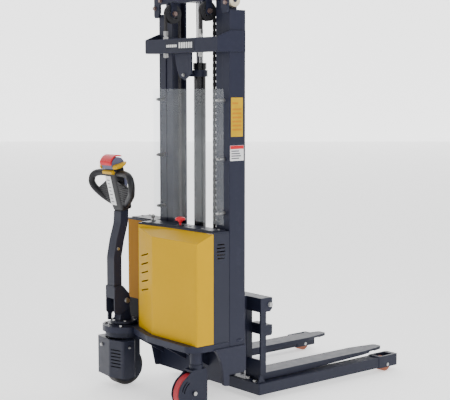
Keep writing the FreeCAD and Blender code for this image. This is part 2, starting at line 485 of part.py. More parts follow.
cov = cut(cov, cyz(STEER_X, STEER_Y, 250, 270, 101), box(-560, -260, -120.5, -100, 0, 300))
for k in range(6):
    z = 207 - k * 18
    cov = cut(cov, py([(-374, z), (-308, z), (-308, z + 6), (-374, z + 6)], -330, -285, 2.9))
cov = cut(cov, box(STEER_X - 100, STEER_X - 44, -240, -170, 255, 275))
node("drive_cover", cov)
DF = [hexbolt((-466, -312.6, 222), (0, -1, 0), 16, 6, 4, 0), hexbolt((-290.6, -258, 225), (1, 0, 0), 12, 5, 4, 0)]

# tiller foot on the turntable
tf = fuse(cyz(STEER_X, STEER_Y, 340, 352, 72), px([(-252, 351), (-172, 351), (-186, 400), (-192, 463), (-192, 480), (-234, 480), (-234, 463), (-240, 400)], STEER_X - 30, STEER_X + 30, [0, 0, 20, 15, 15, 15, 15, 20]))
tf = cut(tf, cyx(-500, -300, TILT_Y, TILT_Z, 10 + RUN))
lug = px([(-272, 351), (-252, 351), (-250, 392), (-262, 400), (-272, 396)], STEER_X - 58, STEER_X - 46, [0, 0, 6, 6, 6])
tf = fuse(tf, lug)
node("tiller_foot", tf)
ft = []
for k in range(6):
    a = math.radians(30 + 60 * k)
    ft.append(hexbolt((STEER_X + 62 * math.cos(a), STEER_Y + 62 * math.sin(a), 352), (0, 0, 1), 12, 6, 3, 0, False))
node("drive_fasteners", *(DF + ft))

# ---- tiller arm ---------------------------------------------------------
AX0, AX1 = STEER_X - 34, STEER_X + 34
arm = px([(-288, 520), (-240, 520), (-240, 700), (-222, 790), (-196, 880), (-190, 990), (-238, 990), (-243, 880), (-270, 790), (-288, 700)], AX0, AX1, [0, 0, 90, 200, 120, 0, 0, 120, 200, 90])
ckr = px([(-292, 400), (-262, 386), (-200, 420), (-190, 463), (-198, 500), (-238, 545), (-292, 545)], STEER_X + 34, STEER_X + 42, [14, 10, 20, 20, 20, 6, 6])
ckl = px([(-292, 400), (-262, 386), (-200, 420), (-190, 463), (-198, 500), (-238, 545), (-292, 545)], STEER_X - 42, STEER_X - 34, [14, 10, 20, 20, 20, 6, 6])
web = box(STEER_X - 34.5, STEER_X + 34.5, -292, -284, 478, 545)
web2 = px([(-288, 500), (-240, 500), (-240, 530), (-288, 530)], STEER_X - 34.5, STEER_X + 34.5)
arm = cut(arm, px([(-283, 560), (-245, 560), (-245, 702), (-227, 792), (-201, 881), (-195, 995), (-233, 995), (-238, 881), (-265, 789), (-283, 698)], AX0 + 5, AX1 - 5))
arm = fuse(arm, ckr, ckl, web, web2)
HZ = 985.0
HP, HA = (STEER_X, -214, HZ), 14.0
arm = cut(arm, about(box(STEER_X - 80, STEER_X + 80, -330, -100, HZ - 36, HZ + 160), HP, (1, 0, 0), HA))
arm = cut(arm, cyx(-500, -300, TILT_Y, TILT_Z, 10))
node("tiller_arm", arm)
node("tiller_bolts", fuse(cyx(STEER_X - 42, STEER_X + 42, TILT_Y, TILT_Z, 10), hexbolt((STEER_X + 42, TILT_Y, TILT_Z), (1, 0, 0), 24, 9, 6, 0), hexbolt((STEER_X - 42, TILT_Y, TILT_Z), (-1, 0, 0), 24, 9, 6, 0)),
     hexbolt((STEER_X + 34, -262, 745), (1, 0, 0), 13, 5, 4, 0), hexbolt((STEER_X - 34, -262, 745), (-1, 0, 0), 13, 5, 4, 0))

# head, drawn upright and then leaned back
def lean(s):
    return about(s, HP, (1, 0, 0), HA)


def hd(x, y, z):
    """Point given from the steering axis, the head's mid plane and its foot."""
    return V(STEER_X + x, HP[1] + y, HZ + z)


GRIP_R = 18.5
GRIP = [(36, -8, 166), (62, -10, 168), (108, -13, 169), (150, -21, 164), (176, -30, 149), (186, -36, 121), (179, -36, 98), (166, -32, 79),
        (148, -26, 59), (122, -21, 39), (92, -14, 20), (58, -6, 2), (38, -3, -8)]
body = py([(STEER_X + a, HZ + b) for a, b in ((-38, -36), (38, -36), (52, -14), (52, 190), (45, 198), (-45, 198), (-52, 190), (-52, -14))],
          -247, -181, [4, 4, 30, 6, 4, 4, 6, 30])
parts_ = [body]
for s in (-1, 1):
    sp_ = Part.BSplineCurve()
    sp_.interpolate([hd(s * x, y, z) for x, y, z in GRIP])
    wire = Part.Wire([sp_.toShape()])
    p0, t0 = sp_.value(sp_.FirstParameter), sp_.tangent(sp_.FirstParameter)[0]
    ring_ = Part.Wire([Part.makeCircle(GRIP_R, p0, t0)])
    parts_.append(wire.makePipeShell([ring_], True, False))
    parts_.append(py([(STEER_X + s * a, HZ + b) for a, b in ((48, 134), (100, 108), (141, 88), (151, 62), (122, 38), (90, 18), (56, 0), (48, 0))], -244, -229))
head = fuse(*parts_)
head = cut(head, box(STEER_X - 46, STEER_X + 46, -256, -237, HZ + 167, HZ + 199), cyx(STEER_X - 49.5, STEER_X + 49.5, -243, HZ + 181, 3 + RUN))
head = cut(head, cyx(STEER_X + 38, STEER_X + 60, -192, HZ + 155, 5 + RUN))
node("tiller_head", lean(head))
dome = [(-253, 198.2), (-175, 198.2), (-174, 226), (-184, 243), (-200, 252), (-216, 255), (-232, 250), (-246, 238), (-253, 222)]
core = px([(y, HZ + z) for y, z in dome], STEER_X - 47, STEER_X + 47, [2, 2, 14, 20, 20, 20, 20, 20, 10])
core = cut(core, cyx(STEER_X - 80, STEER_X + 80, -214, HZ + 212, 7 + RUN), cyz(STEER_X, -216, HZ + 236, HZ + 262, 12 + RUN))
node("head_core", lean(core))
capo = [(-261, 222), (-262, 240), (-246, 256), (-232, 264), (-216, 268), (-198, 265), (-178, 254)]
capi = [(-181, 249.5), (-199, 257.5), (-216, 260.5), (-234, 255.5), (-249, 243), (-256.5, 222)]
cap = px([(y, HZ + z) for y, z in capo + capi], STEER_X - 49, STEER_X + 49, [2, 20, 20, 30, 30, 30, 2, 2, 30, 30, 30, 20, 2])
post = cyz(STEER_X, -216, HZ + 240.5, HZ + 262, 12)
node("reverse_button", lean(fuse(cap, post)))
bshaft = cyx(STEER_X - 62, STEER_X + 62, -214, HZ + 212, 7)
bf = [bshaft]
for s in (-1, 1):
    x0, x1 = sorted((STEER_X + s * 53, STEER_X + s * 84))
    bf.append(px([(-250, HZ + 218), (-258, HZ + 204), (-226, HZ + 196), (-205, HZ + 198), (-172, HZ + 206), (-170, HZ + 222), (-205, HZ + 226)], x0, x1, [6, 6, 8, 8, 8, 6, 10]))
node("throttle", lean(fuse(*bf)))
rk = px([(-262, HZ + 175), (-252, HZ + 170), (-244, HZ + 170), (-244, HZ + 192), (-252, HZ + 192), (-262, HZ + 188)], STEER_X - 44, STEER_X + 44, [3, 2, 0, 0, 2, 3])
rk = fuse(rk, cyx(STEER_X - 44, STEER_X + 44, -243, HZ + 181, 4.5), cyx(STEER_X - 49, STEER_X + 49, -243, HZ + 181, 3))
node("lift_rocker", lean(rk))
lv = px([(-200, HZ + 165), (-183, HZ + 165), (-184, HZ + 120), (-198, HZ + 82), (-212, HZ + 84), (-202, HZ + 125)], STEER_X + 53, STEER_X + 60, [6, 6, 20, 5, 5, 20])
lv = fuse(lv, cyx(STEER_X + 39, STEER_X + 58, -192, HZ + 155, 5))
node("lower_lever", lean(lv))

# ---- carriage and forks --------------------------------------------------
cp = px([(-38, 170), (60, 150), (164, 140), (164, 521), (60, 521), (-38, 520)], 160, 172, [10, 20, 0, 0, 10, 10])
cp = cut(cp, px([(55, 235), (140, 235), (140, 410), (55, 410)], 150, 180, 20))
stubs = []
for s in (-1, 1):
    for z in (215, 475):
        stubs.append(cyx(*sorted((s * 171, s * 214)), 0, z, 14))
headbar = px([(164, HEAD_Z1), (243, HEAD_Z1), (243, 463), (229, HEAD_Z0), (164, HEAD_Z0)], -283, 283, [2, 4, 3, 3, 0])
anc = [box(*sorted((s * 130, s * 161)), -36, -20, 505, 521) for s in (-1, 1)]
xm = box(-172, 172, 150, 164, 150, 210)
xt = box(-161, 161, 36, 50, 440, 521)
carr = fuse(cp, mir(cp), headbar, xm, xt, *stubs, *anc)
node("fork_carriage", carr)
ca = []
for s in (-1, 1):
    x, y = s * SHEAVE_X, SHEAVE_Y + SHEAVE_R
    ca.append(fuse(cyz(x, y, 521, 540, 7), hexbolt((x, y, 521), (0, 0, 1), 20, 8, 5, 0), box(x - 11, x + 11, y - 7, y + 7, 536, 555.9)))
node("carriage_rollers_upper", roller(180, 212, 0, 475, 36.5, 14), roller(-212, -180, 0, 475, 36.5, 14))
node("carriage_rollers_lower", roller(180, 212, 0, 215, 36.5, 14), roller(-212, -180, 0, 215, 36.5, 14))
cb = []
for s in (-1, 1):
    cb.append(hexbolt((s * 283, 226, 484), (s, 0, 0), 22, 8, 6, 0))
node("carriage_fasteners", *(ca + cb))


def fork():
    p = []
    for a, b in ((FORK_X0, FORK_X0 + 10), (FORK_X1 - 10, FORK_X1)):
        p.append(px([(164, 95), (201, 95), (201, 447.9), (164, 447.9)], a, b))
    p.append(box(FORK_X0 + 1, FORK_X1 - 1, 164, 174, 120, 198))
    p.append(px([(200, 322), (243, 322), (243, 378), (200, 378)], FORK_X0 + 4, FORK_X1, [0, 12, 3, 0]))
    w = (FORK_X0 + FORK_X1) / 2
    bl = pz([(FORK_X0, 165), (FORK_X1, 165), (FORK_X1, 940), (FORK_X1 - 26, FORK_TIP - 14), (w + 18, FORK_TIP), (w - 18, FORK_TIP), (FORK_X0 + 26, FORK_TIP - 14), (FORK_X0, 940)], 90, FORK_Z1, [0, 0, 120, 22, 10, 10, 22, 120])
    under = px([(160, 80), (1200, 80), (1200, 116), (1100, 116), (500, 97), (470, 94), (160, 94)], 100, 400)
    bl = cut(bl, under)
    slot = px([(210, 60), (480, 60), (1040, 60), (1040, 118), (210, 118)], FORK_X0 + 8, FORK_X1 - 8)
    bl = cut(bl, slot)
    p.append(bl)
    return fuse(*p)


fr = fork()
node("fork_right", fr)
node("fork_left", mir(fr))

# ---- write --------------------------------------------------------------
allb = FreeCAD.BoundBox()
bad = []
for n, s in NODES.items():
    if not s.isValid() or any(not k.isValid() or k.Volume <= 0 for k in s.Solids):
        bad.append(n)
    pts_ = s.tessellate(0.1)[0]
    allb.add(FreeCAD.BoundBox(min(p.x for p in pts_), min(p.y for p in pts_), min(p.z for p in pts_),
                              max(p.x for p in pts_), max(p.y for p in pts_), max(p.z for p in pts_)))
    s.exportStep(f"parts/{n}.step")
print(len(NODES), "nodes; bounds", [round(v, 2) for v in (allb.XMin, allb.XMax, allb.YMin, allb.YMax, allb.ZMin, allb.ZMax)], "bad", bad)
print("centre offset", round((allb.XMin + allb.XMax) / 2, 3), round((allb.YMin + allb.YMax) / 2, 3))
for n, s in NODES.items():
    print(n, len(s.Solids), round(s.Volume / 1e3, 1))
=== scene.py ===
import sys
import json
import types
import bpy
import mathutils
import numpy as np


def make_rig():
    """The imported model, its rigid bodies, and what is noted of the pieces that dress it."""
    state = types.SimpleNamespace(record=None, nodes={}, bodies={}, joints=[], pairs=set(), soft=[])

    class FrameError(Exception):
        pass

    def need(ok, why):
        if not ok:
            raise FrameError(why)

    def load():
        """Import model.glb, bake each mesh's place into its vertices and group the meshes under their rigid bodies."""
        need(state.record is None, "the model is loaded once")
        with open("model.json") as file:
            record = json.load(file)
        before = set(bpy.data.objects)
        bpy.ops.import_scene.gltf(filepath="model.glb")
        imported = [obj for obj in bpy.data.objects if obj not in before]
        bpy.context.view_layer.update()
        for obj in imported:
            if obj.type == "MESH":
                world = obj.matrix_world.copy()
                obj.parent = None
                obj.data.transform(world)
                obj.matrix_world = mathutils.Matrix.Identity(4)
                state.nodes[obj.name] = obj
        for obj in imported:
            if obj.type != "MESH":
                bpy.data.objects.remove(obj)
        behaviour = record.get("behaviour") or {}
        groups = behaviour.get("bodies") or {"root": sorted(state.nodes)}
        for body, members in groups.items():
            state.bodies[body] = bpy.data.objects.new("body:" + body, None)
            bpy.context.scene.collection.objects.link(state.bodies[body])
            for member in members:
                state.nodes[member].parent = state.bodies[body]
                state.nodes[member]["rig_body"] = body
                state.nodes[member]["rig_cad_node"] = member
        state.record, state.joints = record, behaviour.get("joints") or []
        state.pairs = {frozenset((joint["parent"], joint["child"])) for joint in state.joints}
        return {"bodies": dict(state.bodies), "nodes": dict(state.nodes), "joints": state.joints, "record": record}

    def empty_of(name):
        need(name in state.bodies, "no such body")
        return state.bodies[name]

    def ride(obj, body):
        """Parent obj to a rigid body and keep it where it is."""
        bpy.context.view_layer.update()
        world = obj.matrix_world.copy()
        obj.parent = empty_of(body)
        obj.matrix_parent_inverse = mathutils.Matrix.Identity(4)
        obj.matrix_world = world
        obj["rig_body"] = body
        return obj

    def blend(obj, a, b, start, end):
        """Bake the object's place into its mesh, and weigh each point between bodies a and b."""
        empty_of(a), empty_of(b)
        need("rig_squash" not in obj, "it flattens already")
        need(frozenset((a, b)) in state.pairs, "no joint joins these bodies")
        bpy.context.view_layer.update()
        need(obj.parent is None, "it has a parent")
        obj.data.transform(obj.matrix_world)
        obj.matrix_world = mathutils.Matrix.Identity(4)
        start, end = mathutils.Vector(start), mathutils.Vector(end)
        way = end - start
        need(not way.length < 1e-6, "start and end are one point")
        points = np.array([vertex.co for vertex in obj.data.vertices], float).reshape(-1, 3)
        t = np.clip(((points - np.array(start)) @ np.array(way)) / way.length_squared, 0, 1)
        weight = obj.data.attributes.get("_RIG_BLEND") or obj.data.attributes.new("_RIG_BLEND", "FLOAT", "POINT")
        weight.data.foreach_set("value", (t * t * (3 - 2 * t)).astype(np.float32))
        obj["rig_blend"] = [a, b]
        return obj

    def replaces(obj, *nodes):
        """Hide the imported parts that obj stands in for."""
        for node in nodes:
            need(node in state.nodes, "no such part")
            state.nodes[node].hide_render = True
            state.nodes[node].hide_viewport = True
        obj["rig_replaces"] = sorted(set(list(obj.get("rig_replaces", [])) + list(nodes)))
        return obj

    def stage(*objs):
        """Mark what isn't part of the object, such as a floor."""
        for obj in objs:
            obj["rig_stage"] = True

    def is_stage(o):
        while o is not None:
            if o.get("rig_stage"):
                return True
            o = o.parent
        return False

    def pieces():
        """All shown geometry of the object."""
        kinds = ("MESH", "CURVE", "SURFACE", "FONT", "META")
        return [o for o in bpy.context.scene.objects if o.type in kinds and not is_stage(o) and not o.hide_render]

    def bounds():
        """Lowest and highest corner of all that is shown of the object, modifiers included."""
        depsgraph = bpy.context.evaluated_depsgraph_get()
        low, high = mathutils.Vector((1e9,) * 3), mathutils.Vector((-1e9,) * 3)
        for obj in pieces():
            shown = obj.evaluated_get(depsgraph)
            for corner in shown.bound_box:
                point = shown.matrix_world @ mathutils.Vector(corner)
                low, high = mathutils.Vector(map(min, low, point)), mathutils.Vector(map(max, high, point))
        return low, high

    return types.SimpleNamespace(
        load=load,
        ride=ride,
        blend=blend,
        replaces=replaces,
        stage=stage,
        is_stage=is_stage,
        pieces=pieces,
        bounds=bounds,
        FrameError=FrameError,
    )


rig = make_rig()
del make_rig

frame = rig.load()

import bpy, bmesh, json, math, random
from mathutils import Vector as V, Matrix as M

CAD_BOX = [[float(a) for a in c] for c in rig.bounds()]
random.seed(7)
SX, SY = 0.145505, -0.407884          # mast centre line to the frame's origin
STX, STY = -0.415, -0.205             # steering axis, from the mast centre line


def W(x, y, z):
    """Point given in mm from the mast centre line, as metres in the frame."""
    return V((x / 1000 + SX, y / 1000 + SY, z / 1000))


# ------------------------------------------------------------ materials
def nt(name):
    m = bpy.data.materials.new(name)
    m.use_nodes = True
    t = m.node_tree
    t.nodes.clear()
    out = t.nodes.new("ShaderNodeOutputMaterial")
    b = t.nodes.new("ShaderNodeBsdfPrincipled")
    t.links.new(b.outputs[0], out.inputs[0])
    return m, t, b


def nd(t, kind, **kw):
    n = t.nodes.new(kind)
    for k, v in kw.items():
        if k.startswith("i_"):
            n.inputs[k[2:].replace("_", " ")].default_value = v
        else:
            setattr(n, k, v)
    return n


def noise(t, co, scale, detail=4.0, rough=0.55, dist=0.0):
    n = nd(t, "ShaderNodeTexNoise")
    n.inputs["Scale"].default_value = scale
    n.inputs["Detail"].default_value = detail
    n.inputs["Roughness"].default_value = rough
    n.inputs["Distortion"].default_value = dist
    t.links.new(co, n.inputs["Vector"])
    return n.outputs["Fac"]


def ramp(t, fac, stops):
    n = nd(t, "ShaderNodeValToRGB")
    e = n.color_ramp.elements
    while len(e) > 1:
        e.remove(e[-1])
    e[0].position, e[0].color = stops[0][0], (*stops[0][1], 1)
    for p, c in stops[1:]:
        k = e.new(p)
        k.color = (*c, 1)
    t.links.new(fac, n.inputs["Fac"])
    return n.outputs["Color"]


def g3(v):
    return (v, v, v)


def mixc(t, fac, a, b, mode="MIX"):
    n = nd(t, "ShaderNodeMix", data_type="RGBA", blend_type=mode)
    if isinstance(fac, float):
        n.inputs[0].default_value = fac
    else:
        t.links.new(fac, n.inputs[0])
    for i, c in ((6, a), (7, b)):
        if isinstance(c, tuple):
            n.inputs[i].default_value = (*c, 1)
        else:
            t.links.new(c, n.inputs[i])
    return n.outputs[2]


def maths(t, op, a, b=None):
    n = nd(t, "ShaderNodeMath", operation=op)
    for i, v in enumerate((a, b)):
        if v is None:
            continue
        if isinstance(v, (int, float)):
            n.inputs[i].default_value = v
        else:
            t.links.new(v, n.inputs[i])
    return n.outputs[0]


def coord(t):
    return nd(t, "ShaderNodeTexCoord").outputs["Object"]


def bumped(t, b, height, strength, dist=0.001, radius=0.0):
    n = nd(t, "ShaderNodeBump")
    n.inputs["Strength"].default_value = strength
    n.inputs["Distance"].default_value = dist
    t.links.new(height, n.inputs["Height"])
    if radius:
        k = nd(t, "ShaderNodeBevel", samples=4)
        k.inputs["Radius"].default_value = radius
        t.links.new(k.outputs[0], n.inputs["Normal"])
    t.links.new(n.outputs[0], b.inputs["Normal"])


def paint(name, base, rough=0.38, peel=900.0, bump=0.12, wear=0.5, coat=0.0, metallic=0.0, bevel=0.0016, dirt=0.08, spec=0.22, zones=()):
    """Powder coat or enamel: orange peel, slow colour drift, edges lightened both as rubbed wear and as painted
    highlight, and a little dust low down.
    """
    m, t, b = nt(name)
    co = coord(t)
    drift = noise(t, co, 3.0, 3, 0.5)
    c = ramp(t, drift, [(0.3, tuple(v * 0.95 for v in base)), (0.7, tuple(min(1, v * 1.04) for v in base))])
    fine = noise(t, co, 55.0, 6, 0.6)
    c = mixc(t, maths(t, "MULTIPLY", ramp_f(t, fine, 0.58, 0.8), 0.10), c, tuple(min(1.0, v * 1.25 + 0.006) for v in base))
    geo = nd(t, "ShaderNodeNewGeometry")
    # lighter edges from pointiness: partly rubbed wear, partly painted highlight along the edges
    edge = ramp_f(t, geo.outputs["Pointiness"], 0.54, 0.62)
    scr = ramp_f(t, noise(t, co, 38.0, 8, 0.7), 0.48, 0.62)
    e = maths(t, "MULTIPLY", maths(t, "MULTIPLY", edge, scr), wear)
    c = mixc(t, maths(t, "MULTIPLY", e, 0.5), c, tuple(min(1.0, v * 1.25 + 0.008) for v in base))
    sep = nd(t, "ShaderNodeSeparateXYZ")
    t.links.new(co, sep.inputs[0])
    # flat colours where X and Z lie below the given limits; on the yellow cover one zone is painted shade, the other a
    # black bracket
    for x1, z1, col in zones:
        k = maths(t, "MULTIPLY", maths(t, "LESS_THAN", sep.outputs["X"], x1 / 1000 + SX), maths(t, "LESS_THAN", sep.outputs["Z"], z1 / 1000))
        c = mixc(t, k, c, col)
    low = nd(t, "ShaderNodeMapRange")
    t.links.new(sep.outputs["Z"], low.inputs[0])
    low.inputs[1].default_value, low.inputs[2].default_value = 0.35, 0.0
    low.inputs[3].default_value, low.inputs[4].default_value = 0.0, 1.0
    dust = maths(t, "MULTIPLY", maths(t, "MULTIPLY", low.outputs[0], ramp_f(t, noise(t, co, 14.0, 6, 0.65), 0.4, 0.75)), dirt)
    c = mixc(t, dust, c, tuple(v * 0.8 + 0.03 for v in base))
    t.links.new(c, b.inputs["Base Color"])
    b.inputs["Metallic"].default_value = metallic
    r = maths(t, "ADD", maths(t, "MULTIPLY", noise(t, co, 24.0, 5, 0.6), 0.22), rough - 0.11)
    t.links.new(maths(t, "ADD", r, maths(t, "MULTIPLY", dust, 0.3)), b.inputs["Roughness"])
    b.inputs["Coat Weight"].default_value = coat
    b.inputs["Coat Roughness"].default_value = 0.2
    b.inputs["Specular IOR Level"].default_value = spec
    bumped(t, b, noise(t, co, peel, 2, 0.5), bump * 0.5, 0.0004, bevel)
    return m


def ramp_f(t, fac, a, b):
    n = nd(t, "ShaderNodeMapRange", interpolation_type="SMOOTHSTEP")
    t.links.new(fac, n.inputs[0])
    n.inputs[1].default_value, n.inputs[2].default_value = a, b
    n.inputs[3].default_value, n.inputs[4].default_value = 0.0, 1.0
    return n.outputs[0]


def metal(name, base, rough=0.3, stretch=(1, 1, 1), scale=300.0, bump=0.1, stain=0.3, bevel=0.0008, metallic=1.0):
    m, t, b = nt(name)
    co = coord(t)
    mp = nd(t, "ShaderNodeMapping")
    mp.inputs["Scale"].default_value = stretch
    t.links.new(co, mp.inputs[0])
    g = noise(t, mp.outputs[0], scale, 4, 0.6)
    cl = ramp_f(t, noise(t, co, 16.0, 6, 0.65), 0.42, 0.75)
    c = mixc(t, maths(t, "MULTIPLY", cl, stain), base, tuple(v * 0.45 for v in base))
    c = mixc(t, maths(t, "MULTIPLY", g, 0.25), c, tuple(min(1, v * 1.3) for v in base))
    t.links.new(c, b.inputs["Base Color"])
    b.inputs["Metallic"].default_value = metallic
    r = maths(t, "ADD", maths(t, "MULTIPLY", g, 0.25), rough - 0.1)
    t.links.new(maths(t, "ADD", r, maths(t, "MULTIPLY", cl, 0.15)), b.inputs["Roughness"])
    bumped(t, b, g, bump, 0.0004, bevel)
    return m


def plastic(name, base, rough=0.45, grain=700.0, bump=0.18, spec=0.5, bevel=0.001, sss=0.0, streak=0.0):
    m, t, b = nt(name)
    co = coord(t)
    v = nd(t, "ShaderNodeTexVoronoi")
    v.inputs["Scale"].default_value = grain
    t.links.new(co, v.inputs["Vector"])
    d = noise(t, co, 9.0, 4, 0.6)
    c = ramp(t, d, [(0.3, tuple(k * 0.85 for k in base)), (0.7, tuple(min(1, k * 1.12 + 0.004) for k in base))])
    sm = ramp_f(t, noise(t, co, 45.0, 8, 0.7), 0.55, 0.72)
    c = mixc(t, maths(t, "MULTIPLY", sm, 0.10 + streak), c, tuple(min(1, k * 0.7 + 0.004) for k in base))
    t.links.new(c, b.inputs["Base Color"])
    r = maths(t, "ADD", maths(t, "MULTIPLY", noise(t, co, 30.0, 4, 0.6), 0.25), rough - 0.12)
    t.links.new(r, b.inputs["Roughness"])
    b.inputs["Specular IOR Level"].default_value = spec
    if sss:
        b.inputs["Subsurface Weight"].default_value = sss
        b.inputs["Subsurface Radius"].default_value = (0.01, 0.006, 0.004)
    bumped(t, b, v.outputs["Distance"], bump, 0.0003, bevel)
    return m


def rubber(name, base, rough=0.55, dusty=0.3):
    """Cast polyurethane or rubber tread: radial scuffs, embedded dust."""
    m, t, b = nt(name)
    co = coord(t)
    mp = nd(t, "ShaderNodeMapping")
    mp.inputs["Scale"].default_value = (40, 220, 220)
    t.links.new(co, mp.inputs[0])
    s = noise(t, mp.outputs[0], 1.0, 5, 0.6)
    d = ramp_f(t, noise(t, co, 26.0, 8, 0.7), 0.45, 0.7)
    c = ramp(t, noise(t, co, 6.0, 4, 0.6), [(0.3, tuple(k * 0.8 for k in base)), (0.7, tuple(min(1, k * 1.15) for k in base))])
    c = mixc(t, maths(t, "MULTIPLY", d, dusty * 0.5), c, tuple(k * 0.6 + 0.02 for k in base))
    t.links.new(c, b.inputs["Base Color"])
    t.links.new(maths(t, "ADD", maths(t, "MULTIPLY", s, 0.3), rough - 0.12), b.inputs["Roughness"])
    bumped(t, b, s, 0.25, 0.0005, 0.0015)
    return m


def clear(name):
    m, t, b = nt(name)
    out = [n for n in t.nodes if n.type == "OUTPUT_MATERIAL"][0]
    co = coord(t)
    tr = nd(t, "ShaderNodeBsdfTransparent")
    tr.inputs[0].default_value = (0.965, 0.975, 0.985, 1)
    b.inputs["Base Color"].default_value = (0.85, 0.88, 0.9, 1)
    t.links.new(maths(t, "ADD", maths(t, "MULTIPLY", noise(t, co, 12.0, 5, 0.6), 0.10), 0.02), b.inputs["Roughness"])
    haze = maths(t, "MULTIPLY", ramp_f(t, noise(t, co, 5.0, 7, 0.7), 0.4, 0.8), 0.03)
    f = maths(t, "ADD", haze, 0.05)
    mx = nd(t, "ShaderNodeMixShader")
    t.links.new(f, mx.inputs[0])
    t.links.new(tr.outputs[0], mx.inputs[1])
    t.links.new(b.outputs[0], mx.inputs[2])
    t.links.new(mx.outputs[0], out.inputs[0])
    return m


NAVY = (0.013, 0.015, 0.031)
mat = {
    "mast": paint("mast_powder_coat", NAVY, 0.40, 1100, 0.10, 0.5),
    "base": paint("base_powder_coat", (0.011, 0.013, 0.027), 0.42, 1000, 0.12, 0.6),
    "fork": paint("fork_powder_coat", (0.010, 0.012, 0.026), 0.42, 1000, 0.14, 0.8),
    # first zone is painted shade: the yellow recess wall left of X -293.6 and below Z 900 is darkened to brown; the
    # second zone is the black bracket below Z 448
    "yellow": paint("cover_yellow_enamel", (0.52, 0.30, 0.0), 0.36, 700, 0.08, 0.15, dirt=0.03, spec=0.05,
                    zones=((-293.6, 900, (0.30, 0.135, 0.012)), (-296.0, 448, (0.010, 0.010, 0.012)))),
    "dark": paint("cover_dark_enamel", (0.016, 0.018, 0.032), 0.38, 1000, 0.10, 0.3),
    "gloss_black": paint("cylinder_black_gloss", (0.004, 0.004, 0.006), 0.14, 500, 0.04, 0.1, coat=0.3, spec=0.4),
    "black": paint("motor_black", (0.008, 0.008, 0.010), 0.40, 900, 0.12, 0.4),
    "cast": paint("cast_painted", (0.018, 0.020, 0.032), 0.55, 420, 0.9, 0.5),
    "chrome": metal("rod_chrome", (0.42, 0.42, 0.44), 0.16, (1, 1, 0.05), 600, 0.04, 0.1),
    "zinc": metal("zinc_plate", (0.40, 0.40, 0.40), 0.30, (1, 1, 1), 260, 0.12, 0.35),
    "pinkzinc": metal("bolt_passivated", (0.30, 0.22, 0.20), 0.30, (1, 1, 1), 260, 0.12, 0.4),
    "chain": metal("chain_oiled_steel", (0.040, 0.038, 0.040), 0.40, (1, 1, 1), 350, 0.25, 0.7, 0.0004, 0.8),
    "sheave": metal("sheave_turned", (0.022, 0.022, 0.026), 0.38, (1, 1, 1), 300, 0.15, 0.6, 0.0008, 0.4),
    "alu": metal("aluminium_extruded", (0.40, 0.40, 0.42), 0.35, (1, 1, 0.1), 400, 0.12, 0.25),
    "brass": metal("brass_worn", (0.50, 0.27, 0.06), 0.35, (1, 1, 1), 260, 0.12, 0.4),
    "nylon": plastic("roller_nylon", (0.62, 0.55, 0.40), 0.42, 500, 0.08, 0.3, 0.001, 0.05),
    "bplastic": plastic("black_moulded", (0.0085, 0.0085, 0.011), 0.40, 900, 0.15, 0.25),
    "gplastic": plastic("grey_moulded", (0.12, 0.125, 0.20), 0.45, 900, 0.15, 0.25),
    "rplastic": plastic("red_moulded", (0.62, 0.008, 0.022), 0.28, 900, 0.05, 0.25, 0.001),
    "yplastic": plastic("yellow_moulded", (0.52, 0.30, 0.0), 0.32, 900, 0.06, 0.2, 0.001),
    "tank": plastic("tank_translucent", (0.30, 0.30, 0.27), 0.4, 400, 0.1, 0.4, 0.001, 0.1),
    "tread_red": rubber("tread_red_pu", (0.36, 0.008, 0.018)),
    "tread_tan": rubber("tread_tan_pu", (0.30, 0.085, 0.035)),
    "tread_dark": rubber("tread_dark_pu", (0.012, 0.010, 0.011), 0.6, 0.12),
    "clear": clear("guard_clear_sheet"),
    "label_white": plastic("label_white_film", (0.72, 0.72, 0.72), 0.35, 900, 0.03, 0.2),
    "label_yellow": plastic("label_yellow_film", (0.52, 0.31, 0.0), 0.35, 900, 0.03, 0.2),
    "label_red": plastic("label_red_film", (0.55, 0.01, 0.02), 0.35, 900, 0.03, 0.2),
    "label_ochre": plastic("label_ochre_film", (0.50, 0.20, 0.0), 0.4, 900, 0.03, 0.2),
    "label_grey": plastic("label_grey_film", (0.10, 0.10, 0.12), 0.4, 900, 0.03, 0.2),
    "label_dark": plastic("label_dark_film", (0.012, 0.014, 0.026), 0.4, 900, 0.03, 0.2),
}
USE = {
    "mast": ["outer_mast", "mast_crossbar", "inner_mast", "cylinder_strap", "fork_carriage", "chassis_frame"],
    "base": ["base_frame", "caster_fork", "turntable", "tiller_foot"],
    "fork": ["fork_right", "fork_left"],
    "yellow": ["rear_cover"], "dark": ["top_cover", "side_panel_right", "side_panel_left", "drive_cover", "tiller_arm"],
    "gloss_black": ["cylinder_barrel"], "chrome": ["cylinder_rod"],
    "zinc": ["frame_fasteners", "cover_screws", "carriage_fasteners", "chain_anchors_rear", "load_wheel_axles", "drive_fasteners", "tiller_bolts", "key"],
    "chain": ["chain_strands_rear", "chain_strands_front", "chain_wraps"], "sheave": ["chain_sheaves"],
    "nylon": ["inner_rollers", "top_rollers", "carriage_rollers_upper", "carriage_rollers_lower"],
    "pinkzinc": ["mast_head_pins"], "clear": ["guard_panel"], "tread_red": ["caster_tyre"], "tread_tan": ["load_wheel_left", "load_wheel_right"], "tread_dark": ["drive_tyre"],
    "cast": ["gearbox", "drive_wheel", "caster_wheel", "hydraulic_pump"], "black": ["drive_motor", "pump_motor"],
    "bplastic": ["tiller_head", "switch_bodies", "batteries"], "tank": ["hydraulic_tank"], "gplastic": ["head_core", "lower_lever"],
    "rplastic": ["estop_button", "reverse_button"], "yplastic": ["throttle", "lift_rocker"], "alu": ["controller"],
}
for k, names in USE.items():
    for n in names:
        o = frame["nodes"][n]
        o.data.materials.clear()
        o.data.materials.append(mat[k])
def build(name, body, m, verts, faces, smooth=False, slot=None):
    me = bpy.data.meshes.new(name)
    me.from_pydata([tuple(v) for v in verts], [], faces)
    me.update()
    o = bpy.data.objects.new(name, me)
    bpy.context.scene.collection.objects.link(o)
    me.materials.append(m)
    if smooth:
        for p in me.polygons:
            p.use_smooth = True
    if body:
        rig.ride(o, body)
    return o


